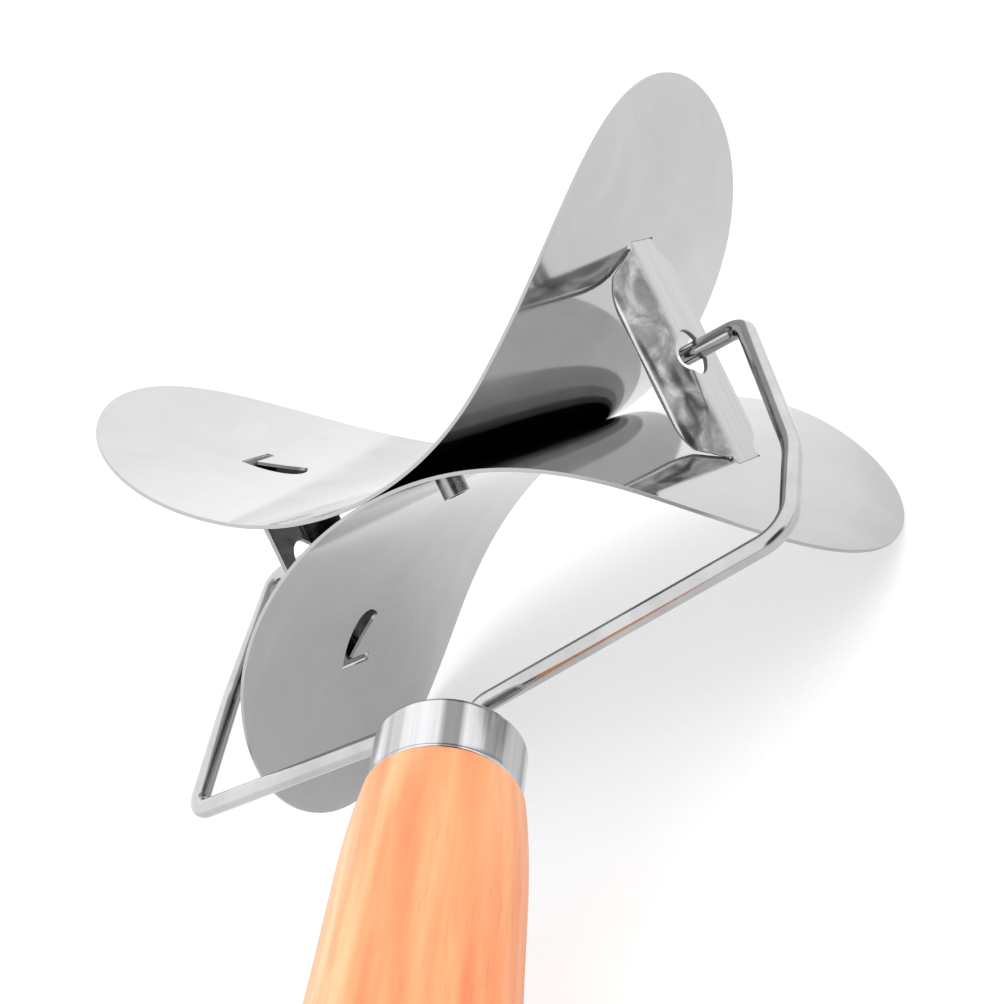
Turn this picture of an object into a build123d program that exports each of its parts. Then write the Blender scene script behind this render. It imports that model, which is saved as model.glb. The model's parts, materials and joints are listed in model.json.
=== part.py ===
"""Rolling dough cutter: a free-spinning rotor of two bent leaf blades in a wire fork on a turned wooden handle.

Frame: +Z up, X along the rotor's axle, the handle towards -Y. The tool stands as it is put down on a worktop,
on the blades' edges and on the end of the handle, so Z = 0 is the worktop. X = 0 is the middle of the axle and
Y = 0 is halfway along the tool's length. All sizes are in millimetres.
"""

import os
from math import acos, asin, atan2, cos, degrees, hypot, radians, sin, sqrt

from build123d import *

# Rotor
CUT_R = 38.4  # every cutting edge lies on a cylinder of this radius about the axle
ROTOR_TURN = 30.1  # rest angle of the rotor about its axle, degrees from blades upright
SHEET = 0.6  # blade sheet thickness
BLADE_GAP = 0.04  # between the backs of the two blades at the line where they meet
UPPER_BEND = (47.3, 31.5, 86.0)  # radius of the middle bend, its half angle in degrees, radius of the lobes
LOWER_BEND = (52.2, 48.0, 95.0)
RIVET_PLACES = (-14.6, 14.6)  # along the line where the blades meet
RIVET_R, RIVET_DROP = 2.1, 2.7  # shank, and how far its hollow end stands below the lower blade
RIVET_HEAD = (3.6, 0.9)  # radius and height
RIVET_BORE = (1.4, 2.0)  # radius and depth of the hollow in the shank's end

# Brackets that carry the axle stubs
BRACKET_X = 39.3  # outer face of the web
BRACKET_T = 0.8
WEB_Y = (-3.6, 6.2)  # from the bend to the free edge
WEB_HALF, WEB_ROUND = 16.4, 4.0
TAB_Y = 3.4  # the web's ends are narrower tabs that pass through the blades
FLANGE_DEPTH, FLANGE_LEAN = 6.6, 50.0  # inward depth, and degrees that the flange leans open from square
FLANGE_Z = (-16.7, 17.3)  # ends of the D, along the web
FLANGE_CORNER = 8.0  # how far each of its rounded corners reaches along it
LEFT_SHIFT = -1.0  # the left bracket sits this much along the blades' middle line
HOLE_R, HOLE_Y, NOTCH_DEPTH = 3.6, -0.9, 1.7
SLIT_Y = (-4.6, 3.55)  # ends of the slit in the blade that takes a tab
SLOT_CLEAR = 0.15
# Leaf-shaped opening that joins each slit. Each point is: inward from the web's face, and along from the slit's end.
LEAF_OUTER = ((0, 0), (2.2, 0), (4.2, 0.4), (5.9, 1.3), (6.9, 2.8), (6.9, 4.8), (6.0, 6.9))
LEAF_INNER = ((5.1, 5.9), (3.8, 4.5), (2.4, 3.4), (0.4, 1.9))
RIVET_CLEAR = 0.02
BEND_R = 1.0

# Fork, bent from one wire by hand. Each corner of a leg is: sideways from the tool's middle, distance from the axle
# along the handle's direction, and drop below the handle's plane.
WIRE_R = 1.5
STUB_END = 37.1
RIGHT_LEG = ((48.1, 0, 0), (57.8, 33.0, 0), (57.6, 49.5, 0), (3.2, 54.4, 0))
LEFT_LEG = ((-45.9, 0, 0), (-53.8, 21.0, 2.6), (-58.1, 41.6, 4.1), (-3.2, 52.8, 0))
RIGHT_BENDS = (3.6, 16.0, 5.0, 3.4)
LEFT_BENDS = (3.6, 14.0, 2.8, 3.4)
TANG_X = 3.2
TANG_END = 112.0

# Ferrule and handle, along the handle's own axis from the axle
FERRULE = (60.1, 69.5)
FERRULE_R, FERRULE_WALL = 10.9, 0.6
NECK_R = 10.2  # inside the ferrule
SHOULDER = ((69.55, 10.95), (70.6, 11.5))  # the wood's rounded edge below the ferrule, distance and radius
SHOULDER_ROUND, SHOULDER_FLARE = 1.4, 0.16
SWELL = ((78.0, 12.5), (98.0, 13.75))  # distance and radius of the wood between the shoulder and the grip
HANDLE_R = 15.4
GRIP_START = 136.0  # the handle is straight from here to its rounded end
HANDLE_END = 174.0
END_ROUND = 9.0
TANG_HOLE = (2 * (TANG_X + WIRE_R + 0.1), 2 * (WIRE_R + 0.1))  # slot that takes the folded end of the wire

# The handle slopes so that the round of its end just touches the worktop
end_centre_v = HANDLE_END - END_ROUND
end_centre_r = HANDLE_R - END_ROUND
PITCH = asin((CUT_R - END_ROUND) / hypot(end_centre_v, end_centre_r)) - atan2(end_centre_r, end_centre_v)
reach = end_centre_v * cos(PITCH) + end_centre_r * sin(PITCH) + END_ROUND
AXLE = (0, (reach - CUT_R) / 2, CUT_R)

turn = radians(ROTOR_TURN)
ROTOR = Plane(origin=AXLE, x_dir=(1, 0, 0), z_dir=(0, sin(turn), cos(turn)))  # seen along the blades' middle
PROFILE = Plane(origin=AXLE, x_dir=(1, 0, 0), z_dir=-ROTOR.y_dir)  # the blades from the side: X and height
CROSS = Plane(origin=AXLE, x_dir=ROTOR.y_dir, z_dir=(1, 0, 0))  # along the axle
FORK = Plane(origin=AXLE, x_dir=(1, 0, 0), z_dir=(0, sin(PITCH), -cos(PITCH)))  # X and distance from the axle
HANDLE_DIR = (0, -cos(PITCH), -sin(PITCH))


class Bend:
    """Side view of one blade: a middle bend and two flatter lobes, drawn for the blade whose lobes point up."""

    def __init__(self, middle_r, half_angle, lobe_r):
        self.middle_r = middle_r
        self.half = half_angle
        self.lobe_r = lobe_r
        a = radians(half_angle)
        self.rise = BLADE_GAP / 2
        self.lobe_x = (middle_r - lobe_r) * sin(a)
        self.lobe_z = self.rise + middle_r - (middle_r - lobe_r) * cos(a)
        self.tip = degrees(acos((self.lobe_z - CUT_R - 1) / lobe_r))

    def back(self, x):
        """Height of the back of the lobe at x."""
        return self.lobe_z - sqrt(self.lobe_r**2 - (x - self.lobe_x) ** 2)

    def face(self, x):
        """Height of the inner face of the lobe at x."""
        return self.lobe_z - sqrt((self.lobe_r - SHEET) ** 2 - (x - self.lobe_x) ** 2)


UPPER, LOWER = Bend(*UPPER_BEND), Bend(*LOWER_BEND)
SIDES = {"right": 1, "left": -1}


def blade_outline(bend, up):
    """Closed side view of the sheet. up is 1 for lobes that point up and -1 for lobes that point down."""
    for inset in (0, SHEET):
        middle = (0, up * (bend.rise + bend.middle_r))
        CenterArc(middle, bend.middle_r - inset, up * (270 - bend.half), up * 2 * bend.half)
        sweep_angle = bend.tip - bend.half
        for side in SIDES.values():
            centre = (side * bend.lobe_x, up * bend.lobe_z)
            CenterArc(centre, bend.lobe_r - inset, up * (270 + side * bend.half), up * side * sweep_angle)
    for side in SIDES.values():
        ends = []
        for r in (bend.lobe_r, bend.lobe_r - SHEET):
            x = side * (bend.lobe_x + r * sin(radians(bend.tip)))
            ends.append((x, up * (bend.lobe_z - r * cos(radians(bend.tip)))))
        Line(*ends)


def leaf_outline(side):
    """The leaf-shaped part of a slot. It starts at the slit's end that is away from the bracket's flange."""
    start = SLIT_Y[1] if side > 0 else SLIT_Y[0]
    outer = [(side * (BRACKET_X - inward), start - side * along) for inward, along in LEAF_OUTER]
    inner = [(side * (BRACKET_X - inward), start - side * along) for inward, along in LEAF_INNER]
    Spline(*outer)
    Line(outer[-1], inner[0])
    Spline(*inner)
    Line(inner[-1], outer[0])


def make_blade(bend, up):
    with BuildPart() as blade:
        with BuildSketch(PROFILE):
            with BuildLine():
                blade_outline(bend, up)
            make_face()
        extrude(amount=CUT_R + 1, both=True)
        with BuildSketch(CROSS):
            Circle(CUT_R)
        extrude(amount=2 * CUT_R, both=True, mode=Mode.INTERSECT)
        with BuildSketch(ROTOR):
            for side in SIDES.values():
                with BuildLine():
                    leaf_outline(side)
                make_face()
                with Locations((side * (BRACKET_X - BRACKET_T / 2), sum(SLIT_Y) / 2)):
                    Rectangle(BRACKET_T + 2 * SLOT_CLEAR, SLIT_Y[1] - SLIT_Y[0])
            with Locations(*[(0, y) for y in RIVET_PLACES]):
                Circle(RIVET_R + RIVET_CLEAR)
        extrude(amount=up * CUT_R, mode=Mode.SUBTRACT)
    return blade.part


def flange_outline(depth):
    """Seen along the blades' middle line: the D-shaped flange, and the web's strip beyond its fold."""
    fold_x = BRACKET_X - BRACKET_T / 2
    low, high = FLANGE_Z
    corner_low, corner_high = low + FLANGE_CORNER, high - FLANGE_CORNER
    Polyline((fold_x, low), (BRACKET_X + 1, low), (BRACKET_X + 1, high), (fold_x, high))
    EllipticalCenterArc((fold_x, corner_high), depth, FLANGE_CORNER, start_angle=90, arc_size=90)
    Line((fold_x - depth, corner_high), (fold_x - depth, corner_low))
    EllipticalCenterArc((fold_x, corner_low), depth, FLANGE_CORNER, start_angle=180, arc_size=90)


def make_bracket():
    """The right bracket, an angle of sheet: a web across the axle, and a D-shaped flange that leans inward."""
    mid_x = BRACKET_X - BRACKET_T / 2
    bend_y, far_y = WEB_Y
    lean = radians(FLANGE_LEAN)
    free_x = mid_x - FLANGE_DEPTH * cos(lean)
    free_y = bend_y - FLANGE_DEPTH * sin(lean)
    with BuildPart() as bracket:
        with BuildSketch(ROTOR):
            with BuildLine():
                FilletPolyline((free_x, free_y), (mid_x, bend_y), (mid_x, far_y), radius=BEND_R)
            trace(line_width=BRACKET_T)
        extrude(amount=CUT_R, both=True)
        with BuildSketch(PROFILE):
            with BuildLine():
                flange_outline(mid_x - free_x + BRACKET_T / 2)
            make_face()
            for bend, up in ((UPPER, 1), (LOWER, -1)):
                with Locations((bend.lobe_x, up * bend.lobe_z)):
                    Circle(bend.lobe_r + SLOT_CLEAR, mode=Mode.SUBTRACT)
            top, bottom = UPPER.face(BRACKET_X), LOWER.face(BRACKET_X)
            with Locations((mid_x, (top - bottom) / 2)):
                Rectangle(BRACKET_T, top + bottom)
        extrude(amount=2 * CUT_R, both=True, mode=Mode.INTERSECT)
        with BuildSketch(CROSS):
            Rectangle(2 * far_y, 2 * WEB_HALF)
            fillet(vertices().group_by(Axis.X)[-1], WEB_ROUND)
            with Locations((TAB_Y - CUT_R / 2, 0)):
                Rectangle(CUT_R, 2 * CUT_R)
        extrude(amount=2 * CUT_R, both=True, mode=Mode.INTERSECT)
        with BuildSketch(CROSS.offset(BRACKET_X + 1)):
            with Locations((HOLE_Y, 0)):
                Circle(HOLE_R)
        extrude(amount=-(BRACKET_T + NOTCH_DEPTH + 1), mode=Mode.SUBTRACT)
    return bracket.part


def turned(bracket):
    """The same bracket for the left side, turned half round so that its flange is at the back."""
    half_round = bracket.rotate(Axis(AXLE, ROTOR.z_dir), 180)
    return half_round.translate(ROTOR.y_dir * LEFT_SHIFT)


def make_rivets():
    """Two half-hollow rivets through both blades, on the line where their backs meet."""
    head_r, head_h = RIVET_HEAD
    bore_r, bore_depth = RIVET_BORE
    seat = UPPER.rise + SHEET + head_r**2 / (2 * UPPER.middle_r) + 0.05
    foot = LOWER.rise + SHEET + RIVET_DROP
    with BuildPart() as rivets:
        with BuildSketch(PROFILE.offset(RIVET_PLACES[0])):
            with BuildLine():
                Line((0, seat + head_h), (head_r * 0.5, seat + head_h))
                ThreePointArc(
                    (head_r * 0.5, seat + head_h),
                    (head_r * 0.86, seat + head_h * 0.8),
                    (head_r, seat + head_h * 0.3),
                )
                Polyline(
                    (head_r, seat + head_h * 0.3),
                    (head_r, seat),
                    (RIVET_R, seat),
                    (RIVET_R, -foot),
                    (bore_r, -foot),
                    (bore_r, -foot + bore_depth),
                    (0, -foot + bore_depth + bore_r * 0.4),
                    (0, seat + head_h),
                )
            make_face()
        first = ROTOR.from_local_coords((0, -RIVET_PLACES[0], 0))
        revolve(axis=Axis(first, ROTOR.z_dir))
        mirror(about=PROFILE)
    return rivets.part


def make_fork():
    """One wire: a stub in each bracket, two legs, two bars, and a hairpin tang inside the handle."""
    right_tang, left_tang = (TANG_X, TANG_END, 0), (-TANG_X, TANG_END, 0)
    route = [(STUB_END, 0, 0), *RIGHT_LEG, right_tang, left_tang, *reversed(LEFT_LEG), (-STUB_END, 0, 0)]
    hairpin = TANG_X - 0.05
    bends = [*RIGHT_BENDS, hairpin, hairpin, *reversed(LEFT_BENDS)]
    with BuildPart() as fork:
        with BuildLine(FORK) as path:
            FilletPolyline(*route, radius=bends)
        with BuildSketch(Plane(origin=path.line @ 0, z_dir=path.line % 0)):
            Circle(WIRE_R)
        sweep()
    return fork.part


def across_handle(v):
    """Plane square to the handle at distance v from the axle."""
    centre = tuple(a + v * d for a, d in zip(AXLE, HANDLE_DIR))
    return Plane(origin=centre, x_dir=(1, 0, 0), z_dir=HANDLE_DIR)


def make_ferrule():
    top, bottom = FERRULE
    inner = FERRULE_R - FERRULE_WALL
    with BuildPart() as ferrule:
        with BuildSketch(FORK):
            with BuildLine():
                FilletPolyline((0, top), (FERRULE_R, top), (FERRULE_R, bottom), radius=1.0)
                FilletPolyline((0, top + FERRULE_WALL), (inner, top + FERRULE_WALL), (inner, bottom), radius=0.4)
                Line((0, top), (0, top + FERRULE_WALL))
                Line((FERRULE_R, bottom), (inner, bottom))
            make_face()
        revolve(axis=Axis(AXLE, HANDLE_DIR))
        with BuildSketch(across_handle(top - 1)):
            SlotOverall(*TANG_HOLE)
        extrude(amount=3, mode=Mode.SUBTRACT)
    return ferrule.part


def make_handle():
    top = FERRULE[0] + FERRULE_WALL + 0.1
    edge, shoulder = [(r, v) for v, r in SHOULDER]
    with BuildPart() as handle:
        with BuildSketch(FORK):
            with BuildLine():
                Line((0, HANDLE_END), (0, top))
                FilletPolyline((0, top), (NECK_R, top), (NECK_R, edge[1]), radius=1.0)
                Line((NECK_R, edge[1]), edge)
                RadiusArc(edge, shoulder, -SHOULDER_ROUND)
                swell = [shoulder, *[(r, v) for v, r in SWELL], (HANDLE_R, GRIP_START)]
                Spline(*swell, tangents=[(SHOULDER_FLARE, 1), (0, 1)])
                Line((HANDLE_R, GRIP_START), (HANDLE_R, end_centre_v))
                RadiusArc((HANDLE_R, end_centre_v), (end_centre_r, HANDLE_END), -END_ROUND)
                Line((end_centre_r, HANDLE_END), (0, HANDLE_END))
            make_face()
        revolve(axis=Axis(AXLE, HANDLE_DIR))
        with BuildSketch(across_handle(top - 1)):
            SlotOverall(*TANG_HOLE)
        extrude(amount=TANG_END + WIRE_R + 1 - top, mode=Mode.SUBTRACT)
    return handle.part


right_bracket = make_bracket()
pieces = {
    "upper_blade": make_blade(UPPER, 1),
    "lower_blade": make_blade(LOWER, -1),
    "right_bracket": right_bracket,
    "left_bracket": turned(right_bracket),
    "blade_rivets": make_rivets(),
    "fork": make_fork(),
    "ferrule": make_ferrule(),
    "handle": make_handle(),
}

os.makedirs("parts", exist_ok=True)
for name, piece in pieces.items():
    piece.label = name
    export_step(piece, f"parts/{name}.step")
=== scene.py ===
"""Looks of the rolling dough cutter: leaf blades, folded brackets, wire fork, ferrule and turned handle.

Sizes are in millimetres, as in the CAD model, and become metres when a mesh is made. Two local frames are used.
ROTOR: X along the axle, Y along the line where the blades meet, Z from the lower to the upper blade.
FORK: X along the axle, Y along the handle away from the axle, Z down from the fork's plane.
"""

import json
from math import acos, atan2, ceil, cos, pi, radians, sin, sqrt, tan

import bpy
import numpy as np
from mathutils import Matrix, Vector, noise
from mathutils.geometry import delaunay_2d_cdt


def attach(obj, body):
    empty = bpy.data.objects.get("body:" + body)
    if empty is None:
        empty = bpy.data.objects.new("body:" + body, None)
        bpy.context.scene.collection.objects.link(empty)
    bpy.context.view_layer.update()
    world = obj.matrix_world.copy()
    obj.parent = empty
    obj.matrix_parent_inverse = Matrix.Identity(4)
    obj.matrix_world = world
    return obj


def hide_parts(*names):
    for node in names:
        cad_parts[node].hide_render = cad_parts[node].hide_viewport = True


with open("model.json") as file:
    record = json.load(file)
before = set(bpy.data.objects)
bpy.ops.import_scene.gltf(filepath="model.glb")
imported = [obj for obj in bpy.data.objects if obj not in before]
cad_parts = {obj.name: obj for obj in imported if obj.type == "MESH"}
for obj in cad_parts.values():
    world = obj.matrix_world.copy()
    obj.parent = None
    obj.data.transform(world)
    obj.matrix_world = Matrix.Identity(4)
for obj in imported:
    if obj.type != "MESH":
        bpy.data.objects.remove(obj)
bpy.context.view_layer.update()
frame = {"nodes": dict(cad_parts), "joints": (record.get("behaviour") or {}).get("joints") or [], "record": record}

MM = 0.001
AXLE = Vector(frame["joints"][0]["pos_m"])
HANDLE_DIR = Vector(frame["record"]["mounts"][0]["axis"])
HANDLE_LEAN = (-atan2(HANDLE_DIR.z, HANDLE_DIR.y), 0, 0)  # turns the handle's axis to Y
RIGHT, LEFT = 1, -1
CUT_EDGE = 1000.0  # added to U on the cut edges of sheets
INNER_SIDE = 1000.0  # added to V on a sheet's inner side

# Rotor
ROTOR_TURN = 30.1
CUT_R = 38.4
SHEET, BLADE_GAP = 0.6, 0.04
UPPER_BEND = (47.3, 31.5, 86.0)  # radius of the middle bend, its half angle in degrees, radius of the lobes
LOWER_BEND = (52.2, 48.0, 95.0)
RIVET_PLACES, RIVET_HOLE = (-14.6, 14.6), 2.12

# Brackets
BRACKET_X, BRACKET_T = 39.3, 0.8
BEND_Y, WEB_FAR_Y = -3.6, 6.2
WEB_HALF, WEB_ROUND = 16.4, 4.0
TAB_Y = 3.4
FLANGE_DEPTH, FLANGE_LEAN = 6.6, radians(50.0)
FLANGE_Z, FLANGE_CORNER = (-16.7, 17.3), 8.0
LEFT_SHIFT = -1.0
BRACKET_BEND_R = 1.0
HOLE_R, HOLE_Y = 3.6, -0.9
SLIT_Y, SLOT_CLEAR = (-4.6, 3.55), 0.15
TAB_FIT = 0.04  # clearance of a tab in its slit
TAB_REACH = 0.35  # how far a tab goes on past one sheet's thickness, because it meets the blade at a slant
# Leaf-shaped opening that joins each slit: inward from the web's face, and along from the slit's end. It is up to
# 0.8 mm wider than the CAD model's.
LEAF_OUTER = ((0, 0), (2.2, 0), (4.2, 0.4), (5.9, 1.3), (6.9, 2.8), (7.0, 5.0), (6.1, 7.4))
LEAF_INNER = ((5.1, 6.6), (3.8, 5.3), (2.4, 4.0), (0.95, 2.5))

# Fork: corners of each leg (sideways, away from the axle, down), and the radius of each bend
WIRE_R, WIRE_CHAMFER = 1.5, 0.2
STUB_END = 37.1
RIGHT_LEG = ((48.1, 0, 0), (57.8, 33.0, 0), (57.6, 49.5, 0), (3.2, 54.4, 0))
LEFT_LEG = ((-45.9, 0, 0), (-53.8, 21.0, 2.6), (-58.1, 41.6, 4.1), (-3.2, 52.8, 0))
RIGHT_BENDS = (3.6, 16.0, 5.0, 3.4)
LEFT_BENDS = (3.6, 14.0, 2.8, 3.4)
TANG_X, TANG_END = 3.2, 112.0

# Ferrule, along the handle
FERRULE_TOP, FERRULE_FOOT, FERRULE_R, FERRULE_WALL = 60.1, 69.5, 10.9, 0.6

# Camera, seen from the axle
CAMERA_AZIMUTH, CAMERA_ELEVATION, CAMERA_ROLL = -31.85, 22.47, 41.36
CAMERA_DISTANCE, LENS = 0.4509, 103.97
CAMERA_AIM = (-0.00154, -0.00355, -0.00534)

DARK_END = (0.5, -0.85, 0.16)  # the open, unlit end of the light tent, level with the handle


def frame_matrix(x, y, z):
    """Local millimetres to the object's frame in metres."""
    m = Matrix((x, y, z)).transposed() * MM
    return Matrix.Translation(AXLE) @ m.to_4x4()


turn = radians(ROTOR_TURN)
ROTOR = frame_matrix((1, 0, 0), (0, cos(turn), -sin(turn)), (0, sin(turn), cos(turn)))
FORK = frame_matrix((1, 0, 0), HANDLE_DIR, Vector((1, 0, 0)).cross(HANDLE_DIR))


# ---------------------------------------------------------------- meshes


def add_piece(name, points, faces, uv, place, body, slot, stands_for, material, normals=None):
    """Makes a smooth mesh piece from local points in millimetres, and ties it to its body and CAD nodes.

    uv has one pair for each point, or one for each corner of each face.
    """
    mesh = bpy.data.meshes.new(name)
    mesh.from_pydata([place @ Vector(p) for p in points], [], faces)
    mesh.polygons.foreach_set("use_smooth", [True] * len(mesh.polygons))
    if len(uv) == len(points):
        uv = [[uv[i] for i in face] for face in faces]
    layer = mesh.uv_layers.new(name="UVMap")
    layer.data.foreach_set("uv", [c for face in uv for corner in face for c in corner])
    if normals is None:
        mesh.set_sharp_from_angle(angle=radians(40))
    else:
        turned = place.to_3x3()
        mesh.normals_split_custom_set_from_vertices([(turned @ Vector(n)).normalized() for n in normals])
    mesh.materials.append(material)
    piece = bpy.data.objects.new(name, mesh)
    bpy.context.scene.collection.objects.link(piece)
    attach(piece, body)
    if stands_for:
        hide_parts(*stands_for)
    return piece


def loop_normals(loop):
    """Outward normals of a closed loop of flat points that has the material on its left."""
    ahead = np.roll(loop, -1, axis=0) - loop
    behind = loop - np.roll(loop, 1, axis=0)
    ahead /= np.linalg.norm(ahead, axis=1)[:, None]
    behind /= np.linalg.norm(behind, axis=1)[:, None]
    along = ahead + behind
    along /= np.maximum(np.linalg.norm(along, axis=1), 1e-9)[:, None]
    return np.stack([along[:, 1], -along[:, 0]], axis=1)


def inside(points, loops):
    """Which flat points lie in the material between the first loop and the hole loops."""
    odd = np.zeros(len(points), bool)
    x, y = points[:, 0], points[:, 1]
    for loop in loops:
        ends = np.roll(loop, -1, axis=0)
        for (ax, ay), (bx, by) in zip(loop, ends):
            if ay != by:
                crossing = (ay > y) != (by > y)
                odd ^= crossing & (x < (bx - ax) * (y - ay) / (by - ay) + ax)
    return odd


def flat_mesh(loops, step):
    """Triangles over the flat area between loops. The loops' own points come first and keep their order."""
    points = np.concatenate(loops)
    edges, start = [], 0
    for loop in loops:
        count = len(loop)
        edges += [(start + i, start + (i + 1) % count) for i in range(count)]
        start += count
    low, high = loops[0].min(axis=0), loops[0].max(axis=0)
    grid = np.stack(np.meshgrid(*[np.arange(a + step / 2, b, step) for a, b in zip(low, high)]), -1).reshape(-1, 2)
    grid = grid[inside(grid, loops)]
    near = np.array([np.min(np.sum((points - g) ** 2, axis=1)) for g in grid]).reshape(-1)
    grid = grid[near > (0.45 * step) ** 2] if len(grid) else grid
    every = np.concatenate([points, grid]) if len(grid) else points
    verts, _, faces, origins, _, _ = delaunay_2d_cdt([Vector(p) for p in every], edges, [], 0, 1e-5)
    spots = np.array([tuple(v) for v in verts])
    order = {old: new for new, olds in enumerate(origins) for old in olds}
    centres = np.array([spots[list(f)].mean(axis=0) for f in faces])
    kept = [tuple(f) for f, inner in zip(faces, inside(centres, loops)) if inner]
    return spots, kept, [order[i] for i in range(len(points))]


def sheet_mesh(loops, surface, thickness, step, rim=0.07):
    """A sheet of even thickness with softly broken edges. surface(u, v) gives the middle surface.

    Gives points, faces, UVs in millimetres, moved by CUT_EDGE on the sheet's cut edges and by INNER_SIDE on its
    inner side, and normals.
    """
    loops = [np.asarray(loop, float) for loop in loops]
    outward = [loop_normals(loop) for loop in loops]
    inset = [loop - rim * out for loop, out in zip(loops, outward)]
    spots, triangles, rim_ids = flat_mesh(inset, step)

    def frame_at(u, v):
        h = 0.01
        here = surface(u, v)
        du = (surface(u + h, v) - surface(u - h, v)) / (2 * h)
        dv = (surface(u, v + h) - surface(u, v - h)) / (2 * h)
        return here, du.normalized(), dv.normalized(), du.cross(dv).normalized()

    points, normals, faces = [], [], []
    frames = [frame_at(*s) for s in spots]
    for sign in (1, -1):
        points += [here + n * sign * thickness / 2 for here, _, _, n in frames]
        normals += [n * sign for _, _, _, n in frames]
    count = len(spots)
    uv = [(u, v) for u, v in spots] + [(u, v + INNER_SIDE) for u, v in spots]
    faces += [tuple(t) for t in triangles]
    faces += [tuple(count + i for i in reversed(t)) for t in triangles]
    start = 0
    for loop, out in zip(loops, outward):
        base = len(points)
        for (u, v), (ou, ov) in zip(loop, out):
            here, tu, tv, n = frame_at(u, v)
            side = (tu * ou + tv * ov).normalized()
            for sign in (1, -1):
                points.append(here + n * sign * (thickness / 2 - rim))
                normals.append(side)
                uv.append((u + CUT_EDGE, v))
        for i in range(len(loop)):
            j = (i + 1) % len(loop)
            top_i, top_j = rim_ids[start + i], rim_ids[start + j]
            up_i, up_j, down_i, down_j = base + 2 * i, base + 2 * j, base + 2 * i + 1, base + 2 * j + 1
            faces.append((up_i, up_j, top_j, top_i))
            faces.append((down_i, down_j, up_j, up_i))
            faces.append((count + top_i, count + top_j, down_j, down_i))
        start += len(loop)
    return points, faces, uv, normals


def arc_points(centre, radius, start, end, step=0.35):
    """Points on an arc, angles in radians, both ends included."""
    count = max(4, ceil(abs(end - start) * radius / step))
    angles = np.linspace(start, end, count + 1)
    return [(centre[0] + radius * cos(a), centre[1] + radius * sin(a)) for a in angles]


def lathe(profile, sides):
    """Turns (along, radius) points about the handle's axis. Gives points, faces and per-face UVs."""
    points, faces, uv = [], [], []
    for along, radius in profile:
        for k in range(sides):
            a = 2 * pi * k / sides
            points.append((radius * cos(a), along, radius * sin(a)))
    for i in range(len(profile) - 1):
        for k in range(sides):
            j = (k + 1) % sides
            faces.append((i * sides + k, i * sides + j, (i + 1) * sides + j, (i + 1) * sides + k))
            u0, u1 = k / sides, (k + 1) / sides
            v0, v1 = profile[i][0], profile[i + 1][0]
            uv.append(((u0, v0), (u1, v0), (u1, v1), (u0, v1)))
    return points, faces, uv


def rounded_path(corners, radii, step=0.4):
    """Points along straight runs joined by tangent arcs."""
    corners = [Vector(c) for c in corners]
    path = [corners[0]]
    for before, corner, after, radius in zip(corners, corners[1:], corners[2:], radii):
        a, b = (before - corner).normalized(), (after - corner).normalized()
        half = a.angle(b) / 2
        centre = corner + (a + b).normalized() * radius / sin(half)
        start, end = corner + a * radius / tan(half), corner + b * radius / tan(half)
        spoke, last = start - centre, end - centre
        sweep_angle = spoke.angle(last)
        axis = spoke.cross(last).normalized()
        count = max(4, ceil(sweep_angle * radius / step))
        path += [centre + Matrix.Rotation(sweep_angle * i / count, 3, axis) @ spoke for i in range(count + 1)]
    path.append(corners[-1])
    return path


def tube(path, radius, sides, chamfer):
    """A round rod along a path, with chamfered flat ends. Gives points, faces and per-face UVs in millimetres."""
    tangents = [(b - a).normalized() for a, b in zip(path, path[1:])]
    tangents = [tangents[0]] + [(a + b).normalized() for a, b in zip(tangents, tangents[1:])] + [tangents[-1]]
    side = tangents[0].orthogonal().normalized()
    rings, lengths, run = [], [], 0.0
    for i, (here, tangent) in enumerate(zip(path, tangents)):
        side = (side - tangent * side.dot(tangent)).normalized()
        up = tangent.cross(side)
        run += (here - path[i - 1]).length if i else 0
        rings.append((here, side.copy(), up, radius))
        lengths.append(run)
    first, last = rings[0], rings[-1]
    rings = [(first[0] - tangents[0] * chamfer, first[1], first[2], radius - chamfer), *rings]
    rings.append((last[0] + tangents[-1] * chamfer, last[1], last[2], radius - chamfer))
    lengths = [0.0, *lengths, run]
    points, faces, uv = [], [], []
    for here, side, up, r in rings:
        for k in range(sides):
            a = 2 * pi * k / sides
            points.append(here + (side * cos(a) + up * sin(a)) * r)
    for i in range(len(rings) - 1):
        for k in range(sides):
            j = (k + 1) % sides
            faces.append((i * sides + k, i * sides + j, (i + 1) * sides + j, (i + 1) * sides + k))
            u0, u1 = k / sides, (k + 1) / sides
            uv.append(((u0, lengths[i]), (u1, lengths[i]), (u1, lengths[i + 1]), (u0, lengths[i + 1])))
    for ring, order in ((0, -1), (len(rings) - 1, 1)):
        faces.append(tuple(ring * sides + k for k in range(sides))[::order])
        uv.append([(k / sides, lengths[ring]) for k in range(sides)])
    return points, faces, uv


# ---------------------------------------------------------------- materials


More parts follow.
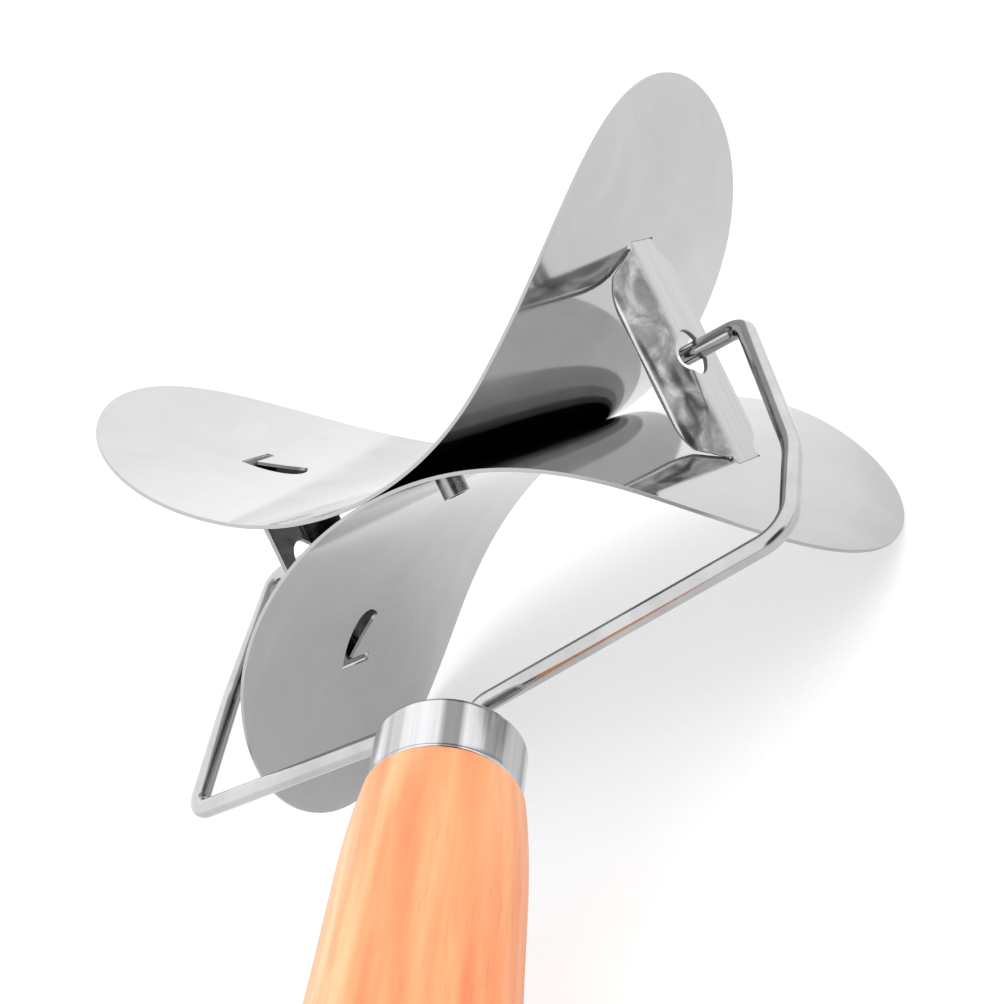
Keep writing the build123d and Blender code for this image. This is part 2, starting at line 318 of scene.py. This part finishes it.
class Nodes:
    """Small helper to build a material's nodes."""

    def __init__(self, name):
        self.material = bpy.data.materials.new(name)
        self.material.use_nodes = True
        self.tree = self.material.node_tree
        self.shader = self.tree.nodes["Principled BSDF"]

    def add(self, kind, inputs=None, **settings):
        node = self.tree.nodes.new(kind)
        for key, value in settings.items():
            setattr(node, key, value)
        for key, value in (inputs or {}).items():
            self.put(node.inputs[key], value)
        return node

    def put(self, socket, value):
        if isinstance(value, bpy.types.NodeSocket):
            self.tree.links.new(value, socket)
        else:
            socket.default_value = value

    def set(self, **values):
        for key, value in values.items():
            self.put(self.shader.inputs[key.replace("_", " ")], value)

    def coordinates(self, scale=(1, 1, 1), rotation=(0, 0, 0), kind="Object"):
        source = self.add("ShaderNodeTexCoord").outputs[kind]
        turned = self.add("ShaderNodeMapping", {"Vector": source, "Rotation": rotation}).outputs["Vector"]
        return self.add("ShaderNodeMapping", {"Vector": turned, "Scale": scale}).outputs["Vector"]

    def along_uv(self, axis, low, high):
        """A mask that goes from 0 to 1 as U or V, axis X or Y, goes from low to high."""
        run = self.add("ShaderNodeSeparateXYZ", {0: self.coordinates(kind="UV")}).outputs[axis]
        return self.remap(run, low, high, 0, 1)

    def noise(self, vector, scale, detail=4.0, roughness=0.55, distortion=0.0):
        made = {"Vector": vector, "Scale": scale, "Detail": detail, "Roughness": roughness}
        return self.add("ShaderNodeTexNoise", {**made, "Distortion": distortion}).outputs["Fac"]

    def remap(self, value, low, high, to_low, to_high):
        made = {"Value": value, "From Min": low, "From Max": high, "To Min": to_low, "To Max": to_high}
        return self.add("ShaderNodeMapRange", made).outputs["Result"]

    def ramp(self, value, *stops):
        node = self.add("ShaderNodeValToRGB", {"Fac": value})
        elements = node.color_ramp.elements
        while len(elements) < len(stops):
            elements.new(0.5)
        for element, (place, colour) in zip(elements, stops):
            element.position = place
            element.color = (*colour, 1)
        return node.outputs["Color"]

    def mix(self, factor, a, b, blend="MIX"):
        node = self.add("ShaderNodeMix", data_type="RGBA", blend_type=blend)
        for index, value in ((0, factor), (6, a), (7, b)):
            self.put(node.inputs[index], value)
        return node.outputs[2]

    def maths(self, operation, a, b):
        return self.add("ShaderNodeMath", {0: a, 1: b}, operation=operation).outputs[0]

    def bump(self, height, strength, distance):
        made = {"Height": height, "Strength": strength, "Distance": distance}
        self.put(self.shader.inputs["Normal"], self.add("ShaderNodeBump", made).outputs["Normal"])


def grey(value):
    return (value, value, value * 1.01)


def blade_steel():
    """Polished sheet: nearly a mirror, with a faint rolled grain, smears and a few fine scratches."""
    n = Nodes("blade_steel_polished")
    smears = n.noise(n.coordinates(), 55, 5, 0.6, 0.8)
    grain = n.noise(n.coordinates((300, 6000, 6000)), 1.0, 2, 0.5)
    scratches = n.noise(n.coordinates((2500, 120, 120), (0.3, 0.2, 0.5)), 1.0, 1, 0.4)
    tone = n.mix(n.remap(smears, 0.3, 0.7, 0, 1), (*grey(0.43), 1), (*grey(0.48), 1))
    cut = n.along_uv("X", CUT_EDGE / 2, CUT_EDGE)
    fine = n.maths("ADD", n.remap(grain, 0.2, 0.8, -0.02, 0.02), n.maths("MULTIPLY", cut, 0.3))
    n.set(Base_Color=n.mix(cut, tone, (*grey(0.4), 1)), Metallic=1.0)
    n.set(Roughness=n.maths("ADD", n.remap(smears, 0.35, 0.75, 0.05, 0.12), fine))
    n.bump(n.maths("ADD", grain, n.remap(scratches, 0.72, 0.8, 0, 1)), 0.05, 0.00001)
    return n.material


def bracket_steel():
    """Stamped sheet: a fairly bright web, a mottled flange, crumpled in folding and darkened with painted shade of
    its dents, painted highlights along the flange's free and cut edges, and an inner side darkened with painted
    shade.
    """
    n = Nodes("bracket_steel_stamped")
    mottle = n.noise(n.coordinates(), 230, 5, 0.6, 0.9)
    lines = n.noise(n.coordinates((1.3, 0.05, 1), kind="UV"), 1.0, 3, 0.5)
    speckle = n.noise(n.coordinates(), 2600, 3, 0.6)
    web = n.along_uv("X", SECTION.flange - 0.2, SECTION.flange + 0.7)
    cut = n.along_uv("X", CUT_EDGE / 2, CUT_EDGE)
    web_cut = n.along_uv("X", CUT_EDGE + SECTION.flange - 0.2, CUT_EDGE + SECTION.flange + 0.7)
    # painted highlight: the flange's cut edges get a near-white tone, the web's cut edges a plain steel one
    edge = n.mix(web_cut, (*grey(0.8), 1), (*grey(0.42), 1))
    # painted shade: the flange gets a dark mottle, far below the web's tone, standing for the shaded reflections
    # of its dents
    flange_mottle_and_shade = n.ramp(mottle, (0.3, grey(0.13)), (0.5, grey(0.24)), (0.68, grey(0.42)))
    bright = n.ramp(lines, (0.3, grey(0.46)), (0.7, grey(0.53)))
    # painted shade: the sheet's inner side gets a near-black tone, so a bracket seen from that side looks as dark
    # as in shade
    inner = n.along_uv("Y", INNER_SIDE / 3, INNER_SIDE / 2)
    # painted highlight: a near-white band along the flange's free edge, on both sides of the sheet
    rolled = n.along_uv("X", 0.65, 0.35)
    face = n.mix(rolled, n.mix(web, flange_mottle_and_shade, bright), (*grey(0.85), 1))
    face = n.mix(inner, face, n.ramp(mottle, (0.3, grey(0.1)), (0.68, grey(0.2))))
    n.set(Base_Color=n.mix(cut, face, edge), Metallic=1.0)
    rough = n.maths("MULTIPLY", n.maths("MAXIMUM", cut, rolled), 0.4)
    worn = n.maths("ADD", n.remap(mottle, 0.3, 0.7, 0.26, 0.14), rough)
    n.set(Roughness=worn)
    n.bump(n.maths("ADD", mottle, n.maths("MULTIPLY", speckle, 0.2)), 0.08, 0.0001)
    return n.material


def wire_steel():
    """Polished drawn wire, with fine lines along it."""
    n = Nodes("wire_steel_drawn")
    lines = n.noise(n.coordinates((60, 0.05, 1), kind="UV"), 1.0, 3, 0.6)
    patches = n.noise(n.coordinates(), 120, 4, 0.6)
    tone = n.mix(n.remap(patches, 0.35, 0.65, 0, 1), (*grey(0.4), 1), (*grey(0.48), 1))
    n.set(Base_Color=tone, Metallic=1.0)
    n.set(Roughness=n.maths("ADD", n.remap(lines, 0.3, 0.7, 0.08, 0.16), n.remap(patches, 0.3, 0.7, -0.02, 0.05)))
    n.bump(lines, 0.12, 0.00003)
    return n.material


def ferrule_steel():
    """Drawn cap, brushed along the handle."""
    n = Nodes("ferrule_steel_brushed")
    lines = n.noise(n.coordinates((1, 0.02, 1), HANDLE_LEAN), 1100, 4, 0.65)
    broad = n.noise(n.coordinates((1, 0.02, 1), HANDLE_LEAN), 190, 2, 0.4)
    fine = n.mix(n.remap(lines, 0.3, 0.7, 0, 1), (*grey(0.54), 1), (*grey(0.66), 1))
    shade = n.ramp(broad, (0.36, grey(0.38)), (0.46, grey(0.95)), (0.6, grey(1.0)))
    n.set(Base_Color=n.mix(1.0, fine, shade, "MULTIPLY"), Metallic=1.0)
    n.set(Roughness=n.remap(lines, 0.3, 0.7, 0.16, 0.28))
    n.bump(n.maths("ADD", lines, n.maths("MULTIPLY", broad, 0.6)), 0.25, 0.00006)
    return n.material


def rivet_steel():
    n = Nodes("rivet_steel_turned")
    rings = n.noise(n.coordinates(), 900, 3, 0.6)
    n.set(Base_Color=n.ramp(rings, (0.3, grey(0.32)), (0.7, grey(0.46))), Metallic=1.0)
    n.set(Roughness=n.remap(rings, 0.3, 0.7, 0.16, 0.3))
    n.bump(rings, 0.2, 0.00005)
    return n.material


def beech():
    """Waxed pale wood with lengthwise streaks, short flecks and pores."""
    n = Nodes("beech_waxed")
    streaks = n.noise(n.coordinates((1, 0.045, 1), HANDLE_LEAN), 240, 4, 0.6, 0.35)
    bands = n.noise(n.coordinates((1, 0.07, 1), HANDLE_LEAN), 110, 2, 0.5, 0.4)
    pores = n.noise(n.coordinates((1, 0.035, 1), HANDLE_LEAN), 1900, 2, 0.5)
    flecks = n.noise(n.coordinates((1, 0.12, 1), HANDLE_LEAN), 900, 2, 0.5)
    pale = n.ramp(bands, (0.38, (0.8, 0.42, 0.21)), (0.5, (0.76, 0.32, 0.14)), (0.63, (0.7, 0.2, 0.075)))
    streaked = n.mix(n.remap(streaks, 0.42, 0.72, 0, 0.55), pale, (0.6, 0.14, 0.045, 1))
    flecked = n.mix(n.remap(flecks, 0.6, 0.78, 0, 0.3), streaked, (0.55, 0.14, 0.045, 1))
    n.set(Base_Color=n.mix(n.remap(pores, 0.66, 0.8, 0, 0.35), flecked, (0.42, 0.11, 0.035, 1)))
    n.set(Roughness=n.remap(streaks, 0.3, 0.7, 0.34, 0.46), Specular_IOR_Level=0.4)
    n.bump(n.maths("ADD", n.maths("MULTIPLY", streaks, 0.5), pores), 0.25, 0.0001)
    return n.material


def floor_white_glowing():
    n = Nodes("floor_white_glowing")
    grain = n.noise(n.coordinates(), 900, 3, 0.5)
    n.set(Base_Color=n.ramp(grain, (0.3, grey(0.34)), (0.7, grey(0.36))), Roughness=0.7, Specular_IOR_Level=0.2)
    # painted light: the floor glows by itself, up to 0.6 emission strength, fading out towards the dark end
    ahead = n.coordinates(rotation=(0, 0, atan2(-DARK_END[0], -DARK_END[1])))
    towards_end = n.add("ShaderNodeSeparateXYZ", {0: ahead}).outputs["Y"]
    painted_glow = n.remap(towards_end, -0.26, -0.08, 0.05, 0.6)
    n.set(Emission_Color=(1, 1, 1, 1), Emission_Strength=painted_glow)
    return n.material


# ---------------------------------------------------------------- blades


class Bend:
    """Side view of a blade whose lobes point up: a middle arc and two flatter lobes, about its middle surface."""

    def __init__(self, middle_r, half_angle, lobe_r):
        self.half = radians(half_angle)
        self.middle = middle_r - SHEET / 2
        self.lobe = lobe_r - SHEET / 2
        self.lift = BLADE_GAP / 2 + middle_r
        self.lobe_x = (middle_r - lobe_r) * sin(self.half)
        self.lobe_z = self.lift - (middle_r - lobe_r) * cos(self.half)
        self.reach = self.middle * self.half
        self.tip = self.reach + self.lobe * (acos((self.lobe_z - CUT_R) / self.lobe) - self.half)

    def at(self, s):
        """Sideways place and height, s millimetres of sheet away from the middle."""
        side, s = (-1 if s < 0 else 1), abs(s)
        if s <= self.reach:
            a = s / self.middle
            return side * self.middle * sin(a), self.lift - self.middle * cos(a)
        a = self.half + (s - self.reach) / self.lobe
        return side * (self.lobe_x + self.lobe * sin(a)), self.lobe_z - self.lobe * cos(a)

    def run(self, x):
        """Length of sheet from the middle to sideways place x."""
        if x <= self.middle * sin(self.half):
            return self.middle * asin_safe(x / self.middle)
        return self.reach + self.lobe * (asin_safe((x - self.lobe_x) / self.lobe) - self.half)

    def edge(self, s):
        """Half the blade's width at s, where its edge meets the cutting cylinder."""
        return sqrt(max(0.0, CUT_R**2 - self.at(s)[1] ** 2))


def asin_safe(value):
    return atan2(value, sqrt(max(0.0, 1 - value * value)))


def blade_outline(bend):
    """The flat blank: a leaf with a point at each tip."""
    turns = np.linspace(-pi / 2, pi / 2, 150)
    run = [bend.tip * sin(a) for a in turns]
    lower = [(s, -bend.edge(s)) for s in run[1:-1]]
    upper = [(s, bend.edge(s)) for s in reversed(run[1:-1])]
    return np.array([(-bend.tip, 0), *lower, (bend.tip, 0), *upper])


def smooth_line(corners, parts=6):
    """A smooth curve through flat points."""
    p = np.array([corners[0], *corners, corners[-1]], float)
    line = []
    for a, b, c, d in zip(p, p[1:], p[2:], p[3:]):
        for t in np.arange(parts) / parts:
            square, cube = 2 * a - 5 * b + 4 * c - d, 3 * b - a - 3 * c + d
            line.append(((2 * b) + (c - a) * t + square * t**2 + cube * t**3) / 2)
    return [*line, p[-1]]


def slot_outline(bend, side):
    """One slot: a slit that takes a bracket's tab, joined to a leaf-shaped opening that runs inward."""
    start, end = SLIT_Y if side == LEFT else SLIT_Y[::-1]
    outward = -side
    face = BRACKET_X + TAB_FIT
    points = [(face, end), (face, start)]
    points += [(BRACKET_X - i, start + outward * a) for i, a in smooth_line(LEAF_OUTER)[1:]]
    points += [(BRACKET_X - i, start + outward * a) for i, a in smooth_line(LEAF_INNER)]
    points.append((BRACKET_X - BRACKET_T - TAB_FIT, end))
    flat = [(side * bend.run(x), y) for x, y in points]
    area = sum(ax * by - bx * ay for (ax, ay), (bx, by) in zip(flat, flat[1:] + flat[:1]))
    return np.array(flat if area < 0 else flat[::-1])


def make_blade(name, bend, up, material):
    def surface(s, y):
        x, z = bend.at(s)
        return Vector((x, y, up * z))

    holes = [slot_outline(bend, side) for side in (RIGHT, LEFT)]
    holes += [np.array(arc_points((0, y), RIVET_HOLE, 2 * pi, 0)[:-1]) for y in RIVET_PLACES]
    mesh = sheet_mesh([blade_outline(bend), *holes], surface, SHEET, step=1.6)
    add_piece(name + "_sheet", *mesh[:3], ROTOR, "rotor", "blade_steel", [name], material, mesh[3])


# ---------------------------------------------------------------- brackets


class Section:
    """The bracket's cross-section, followed from the flange's free edge to the web's."""

    def __init__(self):
        turn_by = pi / 2 - FLANGE_LEAN
        self.cut = BRACKET_BEND_R * tan(turn_by / 2)
        self.flange = FLANGE_DEPTH - self.cut
        self.bend = BRACKET_BEND_R * turn_by
        self.web_x = BRACKET_X - BRACKET_T / 2
        self.free = (self.web_x - FLANGE_DEPTH * cos(FLANGE_LEAN), BEND_Y - FLANGE_DEPTH * sin(FLANGE_LEAN))
        self.length = self.flange + self.bend + WEB_FAR_Y - BEND_Y - self.cut

    def at(self, w):
        if w < self.flange:
            return self.free[0] + w * cos(FLANGE_LEAN), self.free[1] + w * sin(FLANGE_LEAN)
        if w < self.flange + self.bend:
            a = (w - self.flange) / BRACKET_BEND_R + FLANGE_LEAN
            return (
                self.web_x - BRACKET_BEND_R * (1 - sin(a)),
                BEND_Y + self.cut - BRACKET_BEND_R * cos(a),
            )
        return self.web_x, BEND_Y + self.cut + w - self.flange - self.bend

    def run(self, y):
        """Where along the section it reaches height y."""
        runs = np.linspace(0, self.length, 600)
        return float(np.interp(y, [self.at(w)[1] for w in runs], runs))


SECTION = Section()


def bracket_end(w, end, bend):
    """How far the bracket reaches from the axle at w: to its rounded corner, through the blade as a tab, or just
    short of the blade.
    """
    x, y = SECTION.at(w)
    if y > TAB_Y:
        into = WEB_ROUND - (WEB_FAR_Y - y)
        return WEB_HALF - WEB_ROUND + sqrt(max(0.0, WEB_ROUND**2 - into**2)) if into > 0 else WEB_HALF
    back = bend.lobe + SHEET / 2 + SLOT_CLEAR
    blade = bend.lobe_z - sqrt(back**2 - (x - bend.lobe_x) ** 2)
    if w > SECTION.flange:
        return blade + SHEET + TAB_REACH
    depth = min(1.0, (SECTION.flange - w) / SECTION.flange)
    return min(blade, end - FLANGE_CORNER * (1 - sqrt(1 - depth**2)))


def crumple(w, z, seed):
    """Unevenness of the folded sheet: dents over the flange, deepest beside the axle hole."""
    share = max(0.0, min(1.0, (SECTION.flange + 0.6 - w) / 3.0))
    dents = noise.noise(Vector((w * 0.2 + seed, z * 0.13, 3.1))) * 0.8
    dents += noise.noise(Vector((w * 0.4, z * 0.3 + seed, 9.7))) * 0.15
    rim = max(0.0, 1 - w / 1.6)
    pinch = 0.7 * np.exp(-(((z + 3.0) / 3.4) ** 2) - ((w - SECTION.flange) / 2.8) ** 2)
    ripple = noise.noise(Vector((w * 0.2, z * 0.1, 21.5 + seed))) * 0.03
    return share * (dents * (1 - rim) - pinch) + ripple


def make_bracket(name, place, seed, bends, material):
    def surface(w, z):
        h = 0.05
        middle = min(max(w, h), SECTION.length - h)
        (x1, y1), (x2, y2) = SECTION.at(middle - h), SECTION.at(middle + h)
        x, y = SECTION.at(min(max(w, 0.0), SECTION.length))
        normal = Vector((x2 - x1, y2 - y1, 0)).normalized().cross(Vector((0, 0, 1)))
        return Vector((x, y, z)) + normal * crumple(w, z, seed)

    upper, lower = bends
    tab = SECTION.run(TAB_Y)
    runs = [SECTION.flange * (1 - cos(a)) for a in np.linspace(0, pi / 2, 26)]
    runs = np.unique([*runs, *np.linspace(SECTION.flange, SECTION.length, 40), tab, tab + 0.001])
    top = [(w, bracket_end(w, FLANGE_Z[1], upper)) for w in runs]
    foot = [(w, -bracket_end(w, -FLANGE_Z[0], lower)) for w in runs]
    web_edge = [(runs[-1], z) for z in np.linspace(foot[-1][1], top[-1][1], 40)[1:-1]]
    free_edge = [(0.0, z) for z in np.linspace(top[0][1], foot[0][1], 30)[1:-1]]
    circle = arc_points((HOLE_Y, 0), HOLE_R, 2 * pi, 0)[:-1]
    hole = [(SECTION.run(y), z) for y, z in circle]
    mesh = sheet_mesh([foot + web_edge + top[::-1] + free_edge, hole], surface, BRACKET_T, step=0.7, rim=0.1)
    add_piece(name + "_plate", *mesh[:3], place, "rotor", "bracket_steel", [name], material, mesh[3])


# ---------------------------------------------------------------- fork, ferrule, handle


def make_fork(material):
    right_tang, left_tang = (TANG_X, TANG_END, 0), (-TANG_X, TANG_END, 0)
    stubs = (STUB_END + WIRE_CHAMFER, 0, 0), (-STUB_END - WIRE_CHAMFER, 0, 0)
    corners = [stubs[0], *RIGHT_LEG, right_tang, left_tang, *reversed(LEFT_LEG), stubs[1]]
    hairpin = TANG_X - 0.05
    radii = [*RIGHT_BENDS, hairpin, hairpin, *reversed(LEFT_BENDS)]
    mesh = tube(rounded_path(corners, radii), WIRE_R, sides=40, chamfer=WIRE_CHAMFER)
    add_piece("fork_wire", *mesh, FORK, "holder", "wire_steel", ["fork"], material)


def make_ferrule(material):
    """Band with a rounded shoulder, a beaded lip at its foot, and a flat top that the wire enters."""
    r, top, foot = FERRULE_R, FERRULE_TOP, FERRULE_FOOT
    shoulder = [(top + 1 - y, r - 1 + x) for x, y in arc_points((0, 0), 1.0, pi / 2, 0, 0.12)]
    lip = [(foot - 0.3 + 0.3 * sin(a), r - 0.18 + 0.3 * cos(a)) for a in np.linspace(-0.9, 2.6, 12)]
    wall = [(v, r - 0.02 * (v - top) / (foot - top)) for v in np.linspace(top + 1.2, foot - 0.7, 12)]
    inner = [(foot - 0.4, r - FERRULE_WALL), (top + FERRULE_WALL, r - FERRULE_WALL), (top + FERRULE_WALL, 7.0)]
    mesh = lathe([(top, 7.0), *shoulder, *wall, *lip, *inner], sides=160)
    add_piece("ferrule_band", *mesh, FORK, "holder", "ferrule_steel", ["ferrule"], material)

    half, width = TANG_X, WIRE_R + 0.1
    stadium = arc_points((half, 0), width, pi / 2, -pi / 2) + arc_points((-half, 0), width, -pi / 2, -3 * pi / 2)
    ring = arc_points((0, 0), 7.3, 0, 2 * pi)[:-1]

    def surface(u, v):
        return Vector((u, top + FERRULE_WALL / 2, v))

    mesh = sheet_mesh([ring, stadium], surface, FERRULE_WALL, step=1.2)
    add_piece("ferrule_top", *mesh[:3], FORK, "holder", "ferrule_steel", [], material, mesh[3])


# ---------------------------------------------------------------- studio


def make_camera():
    a, e = radians(CAMERA_AZIMUTH), radians(CAMERA_ELEVATION)
    back = Vector((-sin(a) * cos(e), -cos(a) * cos(e), sin(e)))
    camera = bpy.data.objects.new("camera", bpy.data.cameras.new("camera"))
    camera.data.lens = LENS
    camera.location = AXLE + Vector(CAMERA_AIM) + back * CAMERA_DISTANCE
    level = (-back).to_track_quat("-Z", "Y").to_matrix()
    camera.rotation_euler = (level @ Matrix.Rotation(-radians(CAMERA_ROLL), 3, "Z")).to_euler()
    bpy.context.scene.collection.objects.link(camera)
    bpy.context.scene.camera = camera


def make_light(name, place, size, power):
    light = bpy.data.lights.new(name, "AREA")
    light.shape, light.size, light.energy = "DISK", size, power
    lamp = bpy.data.objects.new(name, light)
    lamp.location = AXLE + Vector(place)
    lamp.rotation_euler = (-Vector(place)).to_track_quat("-Z", "Y").to_euler()
    lamp.visible_glossy = False  # no burnt-out patch on the steel
    bpy.context.scene.collection.objects.link(lamp)


def make_studio():
    world = bpy.data.worlds.new("studio")
    bpy.context.scene.world = world
    world.use_nodes = True
    background = world.node_tree.nodes["Background"]
    background.inputs["Color"].default_value = (1, 1, 1, 1)
    tree = world.node_tree
    way = tree.nodes.new("ShaderNodeTexCoord").outputs["Generated"]
    facing = tree.nodes.new("ShaderNodeVectorMath")
    facing.operation = "DOT_PRODUCT"
    facing.inputs[1].default_value = DARK_END
    level = tree.nodes.new("ShaderNodeMapRange")
    level.interpolation_type = "SMOOTHSTEP"
    for socket, value in zip(("From Min", "From Max", "To Min", "To Max"), (0.8, 0.93, 1.5, 0.1)):
        level.inputs[socket].default_value = value
    tree.links.new(way, facing.inputs[0])
    tree.links.new(facing.outputs["Value"], level.inputs["Value"])
    tree.links.new(level.outputs["Result"], background.inputs["Strength"])
    make_light("key", (0.9, 0.15, 1.1), 1.5, 9)
    mesh = bpy.data.meshes.new("floor")
    half = 3.0
    mesh.from_pydata([(-half, -half, 0), (half, -half, 0), (half, half, 0), (-half, half, 0)], [], [(0, 1, 2, 3)])
    mesh.materials.append(floor_white_glowing())
    floor = bpy.data.objects.new("floor", mesh)
    bpy.context.scene.collection.objects.link(floor)
    bpy.context.scene.view_settings.view_transform = "Standard"


def dress(node, material):
    """Gives a CAD node that stays as it is its material."""
    mesh = frame["nodes"][node].data
    mesh.materials.clear()
    mesh.materials.append(material)


make_camera()
make_studio()
upper, lower = Bend(*UPPER_BEND), Bend(*LOWER_BEND)
polished, stamped = blade_steel(), bracket_steel()
make_blade("upper_blade", upper, 1, polished)
make_blade("lower_blade", lower, -1, polished)
make_bracket("right_bracket", ROTOR, 0.0, (upper, lower), stamped)
half_round = Matrix.Translation((0, LEFT_SHIFT, 0)) @ Matrix.Rotation(pi, 4, "Z")
make_bracket("left_bracket", ROTOR @ half_round, 4.6, (upper, lower), stamped)
make_fork(wire_steel())
make_ferrule(ferrule_steel())
dress("blade_rivets", rivet_steel())
dress("handle", beech())
